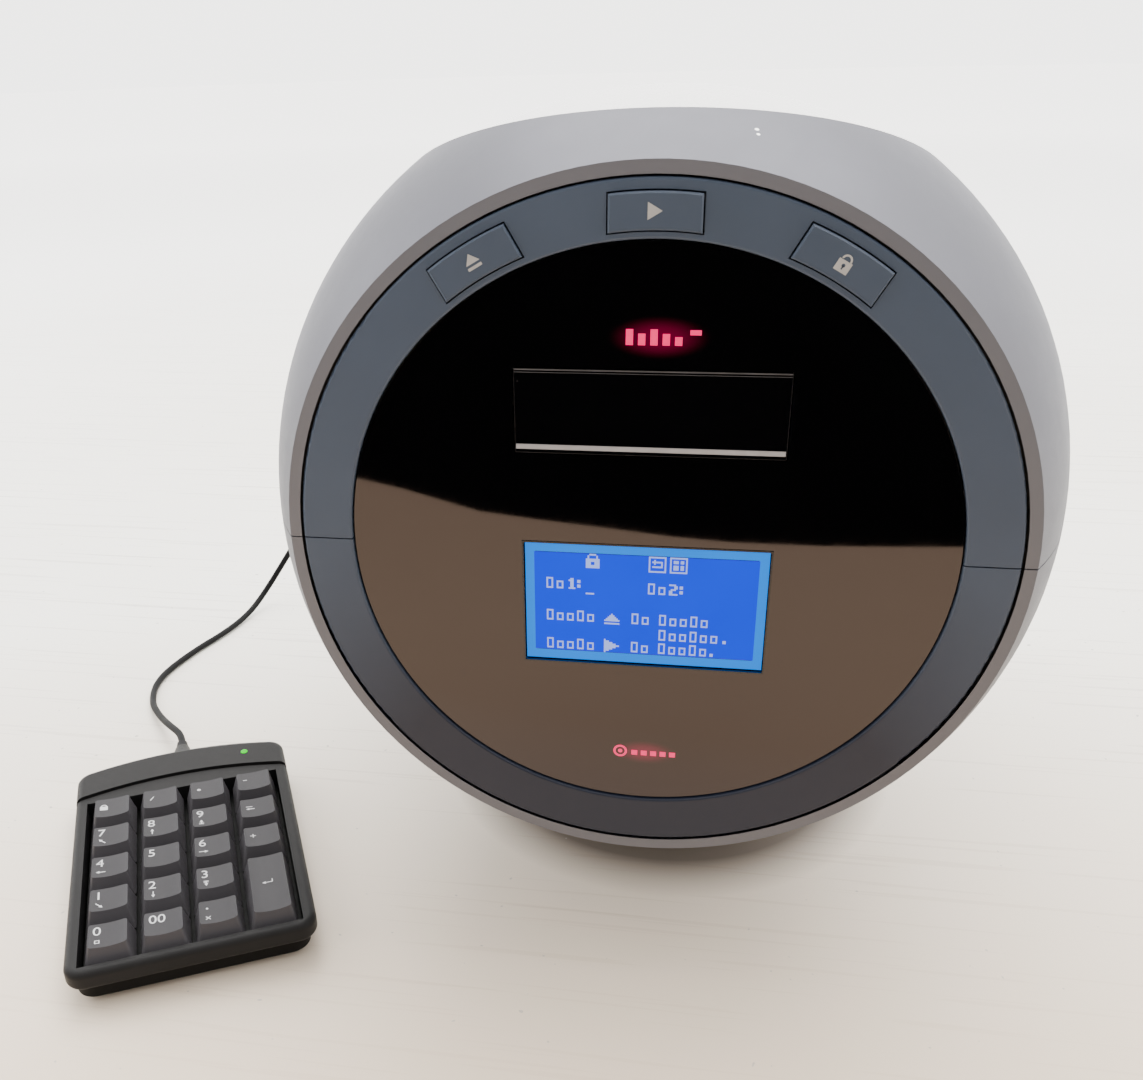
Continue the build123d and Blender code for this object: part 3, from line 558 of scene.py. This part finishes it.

# sample tray front: a painted highlight strip low down, painted highlight lines at the top edge, and dark
# hairline edges below and at the sides
TRAY_HALF = 37.9
TRAY_TOP = 53.85
TRAY_LOW = 29.35
STRIP_PIECE = [rectangle(-37.7, 30.5, 37.7, 31.9)]
TOP_HIGHLIGHT_LINES = [
    rectangle(-TRAY_HALF, TRAY_TOP - 0.4, TRAY_HALF, TRAY_TOP),
    rectangle(-TRAY_HALF, TRAY_TOP - 1.05, TRAY_HALF, TRAY_TOP - 0.9),
]
LOW_LINES = [
    rectangle(-TRAY_HALF, TRAY_LOW, TRAY_HALF, TRAY_LOW + 0.15),
    rectangle(-TRAY_HALF - 0.1, TRAY_LOW + 0.15, -TRAY_HALF, TRAY_TOP - 0.45),
    rectangle(TRAY_HALF, TRAY_LOW + 0.15, TRAY_HALF + 0.1, TRAY_TOP - 0.45),
]
prisms("tray_highlight_strip", STRIP_PIECE, on_front(TRAY_FACE), "tray", STRIP, thick=0.25)
prisms("tray_top_highlight", TOP_HIGHLIGHT_LINES, on_front(TRAY_FACE), "tray", TRAY_TOP_HIGHLIGHT, thick=0.12)
prisms("tray_edge_low", LOW_LINES, on_front(TRAY_FACE), "tray", FRAME_DARK, thick=0.05)

# display: a dark rim, a lit border and the active field, as left, bottom, right and top
DISPLAY = (-36.0, -38.7, 36.0, 0.9)
ACTIVE = (-33.25, -35.5, 33.25, -2.3)
RIM = (-36.75, -39.5, 36.75, 1.65)
FIELD_THICK = 0.10
prisms("screen_border", frame_strips(*DISPLAY, 3.0), on_front(GLASS_FACE), INSTRUMENT, SCREEN_EDGE, thick=0.05)
prisms("screen_field", [rectangle(*ACTIVE)], on_front(GLASS_FACE), INSTRUMENT, SCREEN, thick=FIELD_THICK)
prisms("display_rim", frame_strips(*RIM, 0.5), on_front(WINDOW_FACE), INSTRUMENT, FRAME_DARK, thick=0.25)

PIXEL_PITCH = (ACTIVE[2] - ACTIVE[0]) / 128
PIXEL_GAP = 0.04
LETTER_STEP = 6


def pixel_block(column, row, columns, rows):
    """Filled block on the display's pixel grid, rows counted downwards."""
    x0 = ACTIVE[0] + column * PIXEL_PITCH
    y1 = ACTIVE[3] - row * PIXEL_PITCH
    return rectangle(x0, y1 - rows * PIXEL_PITCH, x0 + columns * PIXEL_PITCH - PIXEL_GAP, y1)


def pixel_art(column, row, lines):
    """Runs of lit pixels from a drawing in which # is lit."""
    blocks = []
    for j, line in enumerate(lines):
        start = None
        for i, mark in enumerate(line + "."):
            if mark == "#" and start is None:
                start = i
            elif mark != "#" and start is not None:
                blocks.append(pixel_block(column + start, row + j, i - start, 1))
                start = None
    return blocks


def greeked(column, row, count):
    """Placeholder word: hollow boxes, one for each character, every third one taller."""
    blocks = []
    for i in range(count):
        tall = 7 if i % 3 == 0 else 5
        left = column + LETTER_STEP * i
        top = row + 7 - tall
        blocks += [pixel_block(left, top, 4, 1), pixel_block(left, top + tall - 1, 4, 1)]
        blocks += [pixel_block(left, top + 1, 1, tall - 2), pixel_block(left + 3, top + 1, 1, tall - 2)]
    return blocks


ONE = [".##.", "###.", ".##.", ".##.", ".##.", ".##.", "####"]
TWO = ["####.", "...##", "...##", ".###.", "##...", "##...", "#####"]
COLON = ["..", "##", "##", "..", "##", "##", ".."]
SHUT = ["..####..", ".#....#.", ".#....#.", "########", "########", "###..###", "###..###", "########",
        "########"]
BACK = ["##########", "#........#", "#..#.....#", "#.######.#", "#..#...#.#", "#......#.#", "#.######.#",
        "#........#", "#........#", "##########"]
GRID = ["##########", "#........#", "#.###.##.#", "#.###.##.#", "#........#", "#.###.##.#", "#.###.##.#",
        "#.###.##.#", "#........#", "##########"]
RAISE = ["....#....", "...###...", "..#####..", ".#######.", "#########", ".........", "#########"]
PLAY = ["#........", "###......", "#####....", "#######..", "#########", "#######..", "#####....",
        "###......", "#........"]
PICTURES = ((SHUT, 30, 0), (BACK, 66, 0), (GRID, 78, 0), (ONE, 20, 16), (COLON, 25, 16), (TWO, 78, 17),
            (COLON, 84, 17), (RAISE, 41, 38), (PLAY, 41, 55))
WORDS = ((7, 16, 2), (66, 17, 2), (7, 37, 5), (57, 37, 2), (73, 37, 5), (73, 47, 6), (7, 56, 5), (57, 56, 2),
         (73, 56, 5))
CURSOR_AND_STOPS = ((30, 25, 5, 1), (110, 52, 2, 2), (103, 61, 2, 2))
pixels = [pixel_block(*block) for block in CURSOR_AND_STOPS]
for drawing, column, row in PICTURES:
    pixels += pixel_art(column, row, drawing)
for column, row, count in WORDS:
    pixels += greeked(column, row, count)
prisms("screen_pixels", pixels, on_front(GLASS_FACE - FIELD_THICK), INSTRUMENT, PIXEL, thick=0.04)

# generic lit marks behind the window: bars above, a ring and dashes below
BAR_STEP = 3.3
BAR_FOOT = 60.9
DASH_STEP = 3.0
LOW_MARK = (-6.2, -71.0)
upper_mark = [rectangle(10.2, 63.8, 13.2, 65.2)]
for i, tall in enumerate((4.4, 3.2, 4.4, 3.2, 2.4)):
    upper_mark.append(rectangle(-7.0 + BAR_STEP * i, BAR_FOOT, -5.0 + BAR_STEP * i, BAR_FOOT + tall))
lower_mark = arc_band(*LOW_MARK, 2.2, 0.7, 0, 360, 24) + [disc(*LOW_MARK, 0.7)]
lower_mark += [rectangle(-2.6 + DASH_STEP * i, -72.2, -0.7 + DASH_STEP * i, -70.4) for i in range(5)]
prisms("lit_mark_upper", upper_mark, on_front(WINDOW_FACE), INSTRUMENT, MARK, thick=0.03)
prisms("lit_mark_lower", lower_mark, on_front(WINDOW_FACE), INSTRUMENT, MARK, thick=0.03)


# ---------------------------------------------------------------- key legends
def numerals(text, size, x, y):
    """Triangles of the numerals, set with their lower left corner at x, y."""
    data = bpy.data.curves.new("numerals", "FONT")
    data.body = text
    data.size = size
    holder = bpy.data.objects.new("numerals", data)
    mesh = bpy.data.meshes.new_from_object(holder)
    work = bmesh.new()
    work.from_mesh(mesh)
    bmesh.ops.triangulate(work, faces=work.faces)
    triangles = [[(x + v.co.x, y + v.co.y) for v in face.verts] for face in work.faces]
    work.free()
    bpy.data.objects.remove(holder)
    bpy.data.curves.remove(data)
    bpy.data.meshes.remove(mesh)
    return triangles


NUMERAL_SIZE = 6.0
LINE = 0.35
FINE_LINE = 0.32
SIGN_AT = (-3.0, -3.0)


def digit(text):
    return numerals(text, NUMERAL_SIZE, -4.8, 0.3)


def sub_arrow(dx, dy, reach=1.75):
    """Small arrow under a numeral."""
    x, y = SIGN_AT
    return arrow(x - dx * reach, y - dy * reach, x + dx * reach, y + dy * reach)


def page(sign):
    """Arrow with two cross bars, for a jump by a page; sign is +1 for upwards."""
    x, y = SIGN_AT
    bars = [stroke(x - 0.9, y - sign * rise, x + 0.9, y - sign * rise, 0.28) for rise in (1.3, 0.7)]
    return bars + arrow(x, y - sign * 1.3, x, y + sign * 1.4)


def crossed(x, y, half):
    """Two crossing diagonals."""
    return [
        stroke(x - half, y - half, x + half, y + half, FINE_LINE),
        stroke(x - half, y + half, x + half, y - half, FINE_LINE),
    ]


SMALL_LOCK = [rectangle(-4.4, -1.4, -1.4, 1.0)] + arc_band(-2.9, 1.1, 1.15, 0.4, 0, 180, 10)
HOOKED_ARROW = [stroke(1.7, 1.7, 1.7, 0.2, LINE)] + arrow(1.7, 0.2, -2.1, 0.2, LINE, 1.3)
STAR = [
    stroke(-3.0, -0.5, -3.0, 1.1, FINE_LINE),
    stroke(-3.7, -0.1, -2.3, 0.7, FINE_LINE),
    stroke(-3.7, 0.7, -2.3, -0.1, FINE_LINE),
]
LEGENDS = {
    "key_num_lock": SMALL_LOCK,
    "key_divide": [stroke(-3.6, -0.8, -2.2, 1.6, LINE)],
    "key_multiply": STAR,
    "key_minus": [stroke(-3.9, 0.9, -2.2, 0.9, LINE)],
    "key_backspace": arrow(-0.8, -0.6, -4.2, -0.6, 0.4, 1.3) + [stroke(-4.2, 0.9, -1.6, 0.9, LINE)],
    "key_plus": [stroke(-4.0, 0.6, -1.8, 0.6, LINE), stroke(-2.9, -0.5, -2.9, 1.7, LINE)],
    "key_enter": HOOKED_ARROW,
    "key_7": digit("7") + sub_arrow(-0.7, 0.7),
    "key_8": digit("8") + sub_arrow(0, 0.9),
    "key_9": digit("9") + page(1),
    "key_4": digit("4") + sub_arrow(-1, 0),
    "key_5": digit("5"),
    "key_6": digit("6") + sub_arrow(1, 0),
    "key_1": digit("1") + sub_arrow(0.7, -0.7),
    "key_2": digit("2") + sub_arrow(0, -0.9),
    "key_3": digit("3") + page(-1),
    "key_0": digit("0") + frame_strips(-4.0, -3.9, -2.3, -2.3, 0.3),
    "key_00": digit("00"),
    "key_decimal": [disc(-3.4, 2.0, 0.42)] + crossed(-3.2, -3.0, 0.8),
}
KEY_SPOTS = {
    "key_num_lock": (0, 0), "key_divide": (1, 0), "key_multiply": (2, 0), "key_minus": (3, 0),
    "key_7": (0, 1), "key_8": (1, 1), "key_9": (2, 1), "key_backspace": (3, 1),
    "key_4": (0, 2), "key_5": (1, 2), "key_6": (2, 2), "key_plus": (3, 2),
    "key_1": (0, 3), "key_2": (1, 3), "key_3": (2, 3), "key_enter": (3, 3.5),
    "key_0": (0, 4), "key_00": (1, 4), "key_decimal": (2, 4),
}


def on_key(column, row):
    """Place on a key's dished top."""
    dish_x = 0.4

    def place(x, y, height):
        sag = sqrt(KEY_DISH_RADIUS**2 - (x - dish_x) ** 2)
        face = KEY_TOP + KEY_DISH_RADIUS - KEY_DISH_DEPTH - sag
        across = (column - 1.5) * KEY_PITCH + x
        back = FIRST_ROW - KEY_PITCH * row + y
        return KEYPAD_PLACE @ Vector((across, back, face - 0.02 + height))

    return place


for key_name, spot in KEY_SPOTS.items():
    prisms("legend_" + key_name[4:], LEGENDS[key_name], on_key(*spot), key_name, LEGEND, thick=0.05)


# ---------------------------------------------------------------- keypad lamp and rear marks
DOME_SIDES = 24
DOME_RINGS = 6


def dome(name, centre, radius, rise, place, body, material):
    """Low lens on a surface."""
    mesh = bpy.data.meshes.new(name)
    build = bmesh.new()

    def vertex(x, y, z):
        return build.verts.new(place @ (Vector(centre) + Vector((x, y, z))) * MM)

    rings = []
    for j in range(DOME_RINGS):
        tilt = pi / 2 * j / DOME_RINGS
        outline = disc(0, 0, radius * cos(tilt), DOME_SIDES)
        rings.append([vertex(x, y, rise * sin(tilt)) for x, y in outline])
    top = vertex(0, 0, rise)
    for i in range(DOME_SIDES):
        after = (i + 1) % DOME_SIDES
        for low, high in zip(rings, rings[1:]):
            build.faces.new((low[i], low[after], high[after], high[i]))
        build.faces.new((rings[-1][i], rings[-1][after], top))
    build.faces.new(rings[0][::-1])
    for face in build.faces:
        face.smooth = True
    build.to_mesh(mesh)
    build.free()
    return new_piece(name, mesh, body, material)


dome("keypad_lamp", (26.9, 56.0, 17.95), 1.5, 0.55, KEYPAD_PLACE, INSTRUMENT, LED)


def on_rear(x, z):
    """Place on the rear panel, seen from behind."""
    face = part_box("rear_panel")[1].y / MM
    return lambda u, v, height: Vector((x - u, face + height, z + v))


DATA_MARK = [stroke(-3, 0, 3, 0, 0.4), disc(-3, 0, 0.8, 12), stroke(-0.5, 0, 0.8, 1.4, LINE),
             rectangle(0.8, 1.0, 1.9, 2.0)]
POWER_MARK = arc_band(0, 0, 2.2, 0.5, 125, 415, 24) + [stroke(0, 0.3, 0, 2.9, 0.5)]
prisms("mark_data_port", DATA_MARK, on_rear(-60, 183), INSTRUMENT, LEGEND)
prisms("mark_power", POWER_MARK, on_rear(60, 150.7), INSTRUMENT, LEGEND)


# ---------------------------------------------------------------- floor, cards and light
CREAM = (0.78, 0.755, 0.695)
PALE_CREAM = (0.82, 0.80, 0.745)
FAR_WHITE = (0.95, 0.945, 0.935)
# painted shade: the colour the floor turns in front of the ball
FRONT_PAINTED_SHADE = (0.57, 0.425, 0.285)
# painted shadow: the colour of the contact shadow under the ball
CONTACT_PAINTED_SHADOW = (0.12, 0.098, 0.08)
SCRATCH_BROWN = (0.48, 0.45, 0.42)
SPECK_BROWN = (0.30, 0.28, 0.26)
FAR_GLOW = (1.5, 1.48, 1.45)
SCRATCHES = ((0.5, 0.645), (-0.9, 0.655), (1.35, 0.66))      # turn in radians, noise above which one shows


def floor_material():
    """Pale worn bench top with faint scratches and specks; a painted shade makes it darker and warmer in
    front, and a painted shadow darkens it under the ball.
    """
    material, tree, shader = new_material("bench_top")
    coords = _coordinates(tree)
    cloud = _range(tree, _noise(tree, coords, 3.0, 4.0, 0.5), *NOISE_MIDDLE)
    base = _mix(tree, cloud, CREAM, PALE_CREAM)
    for turn, threshold in SCRATCHES:
        along = _mapped(tree, coords, (3.0, 160.0, 1.0), turn=turn)
        lines = _noise(tree, along, 1.6, 2.0, 0.5)
        base = _mix(tree, _range(tree, lines, threshold, threshold + 0.02, 0.0, 0.35), base, SCRATCH_BROWN)
    reach = _distance(tree, coords, (0.0, 0.25, 0.0))
    base = _mix(tree, _range(tree, reach, 0.35, 1.3), base, FAR_WHITE)
    # painted shade: the floor in front of the ball turns darker and warmer, standing in for the shade that
    # falls there
    near = _length(tree, _mapped(tree, coords, (0.85, 1.15, 1.0), location=(-0.10, 0.85, 0.0)))
    base = _mix(tree, _range(tree, near, 1.0, 0.5), base, FRONT_PAINTED_SHADE)
    # painted shadow: a dark disc on the floor under the ball, standing in for its contact shadow
    under = _distance(tree, coords, (0.005, -0.02, 0.0))
    base = _mix(tree, _range(tree, under, 0.100, 0.078), base, CONTACT_PAINTED_SHADOW)
    specks = _noise(tree, coords, 260.0, 1.0, 0.5)
    base = _mix(tree, _range(tree, specks, 0.76, 0.79, 0.0, 0.6), base, SPECK_BROWN)
    tree.links.new(base, shader.inputs["Base Color"])
    glow = _mix(tree, _range(tree, reach, 0.9, 3.2), (0.0, 0.0, 0.0), FAR_GLOW)
    tree.links.new(glow, shader.inputs["Emission Color"])
    shader.inputs["Emission Strength"].default_value = 1.0
    shader.inputs["Specular IOR Level"].default_value = 0.25
    wear = _noise(tree, coords, 40.0, 5.0, 0.6)
    tree.links.new(_range(tree, wear, *NOISE_MIDDLE, 0.45, 0.6), shader.inputs["Roughness"])
    return material


def flat_mesh(name, points, material):
    mesh = bpy.data.meshes.new(name)
    mesh.from_pydata(points, [], [tuple(range(len(points)))])
    obj = bpy.data.objects.new(name, mesh)
    COLLECTION.objects.link(obj)
    obj.data.materials.append(material)
    return obj


BENCH_RADIUS = 9.0
flat_mesh("bench", [(x, y, 0.0) for x, y in disc(0, 0, BENCH_RADIUS, 64)], floor_material())

# painted reflection: dark sheets beyond the bench's near edge and a dark wall in front stand for a dark room;
# only mirror reflections see them
CARD = surface("dark_card", (0.001, 0.001, 0.001), 0.9, specular=0.0)
CARD_HEIGHT = 0.0006
CARD_HALF = 1.6
WALL_TOP = 1.5
WALL_PLACE = -1.6
BENCH_EDGE = [
    (-CARD_HALF, -1.05), (-0.9, -0.83), (-0.5, -0.72), (-0.236, -0.626), (-0.202, -0.611), (-0.135, -0.573),
    (-0.09, -0.562), (-0.045, -0.553), (0.0, -0.543), (0.038, -0.538), (0.094, -0.538), (0.144, -0.542),
    (0.183, -0.546), (0.5, -0.58), (0.9, -0.62), (CARD_HALF, -0.70),
]
room_outline = [(-CARD_HALF, -4.0), *BENCH_EDGE, (CARD_HALF, -4.0)]
room = flat_mesh("card_floor", [(x, y, CARD_HEIGHT) for x, y in room_outline][::-1], CARD)
wall_outline = [(-CARD_HALF, 0.0), (CARD_HALF, 0.0), (CARD_HALF, WALL_TOP), (-CARD_HALF, WALL_TOP)]
wall = flat_mesh("card_wall", [(x, WALL_PLACE, z) for x, z in wall_outline], CARD)
for dark in (room, wall):
    dark.visible_camera = False
    dark.visible_diffuse = False
    dark.visible_shadow = False


def lamp(name, place, target, size, power, colour=(1.0, 1.0, 1.0)):
    data = bpy.data.lights.new(name, "AREA")
    data.shape = "RECTANGLE"
    data.size, data.size_y = size
    data.energy = power
    data.color = colour
    obj = bpy.data.objects.new(name, data)
    COLLECTION.objects.link(obj)
    obj.location = place
    obj.rotation_euler = (Vector(target) - Vector(place)).to_track_quat("-Z", "Y").to_euler()
    return obj


lamp("key_overhead", (0.1, 0.6, 2.0), (0, 0.05, 0.1), (2.4, 1.6), 110.0, (1.0, 0.985, 0.96))
lamp("side_right", (1.25, 0.1, 1.25), (0, -0.05, 0.15), (0.7, 0.8), 14.0)
lamp("fill_front", (-1.0, -1.2, 0.9), (-0.05, -0.1, 0.1), (0.7, 0.7), 4.0)
lamp("side_left", (-1.5, 0.3, 0.9), (-0.1, 0, 0.1), (0.9, 0.9), 14.0, (0.97, 0.985, 1.0))

ROOM_COLOUR = (0.90, 0.86, 0.82)
BACKDROP_COLOUR = (3.9, 3.85, 3.75)


def make_world():
    """Bright white surroundings behind and above, a dimmer room in front."""
    world = bpy.data.worlds.new("studio")
    bpy.context.scene.world = world
    world.use_nodes = True
    tree = world.node_tree
    parts = _node(tree, "ShaderNodeSeparateXYZ")
    tree.links.new(_node(tree, "ShaderNodeTexCoord").outputs["Generated"], parts.inputs[0])
    rear = _range(tree, parts.outputs["Y"], -0.75, 0.65)
    colour = _mix(tree, rear, ROOM_COLOUR, BACKDROP_COLOUR)
    tree.links.new(colour, tree.nodes["Background"].inputs["Color"])


make_world()
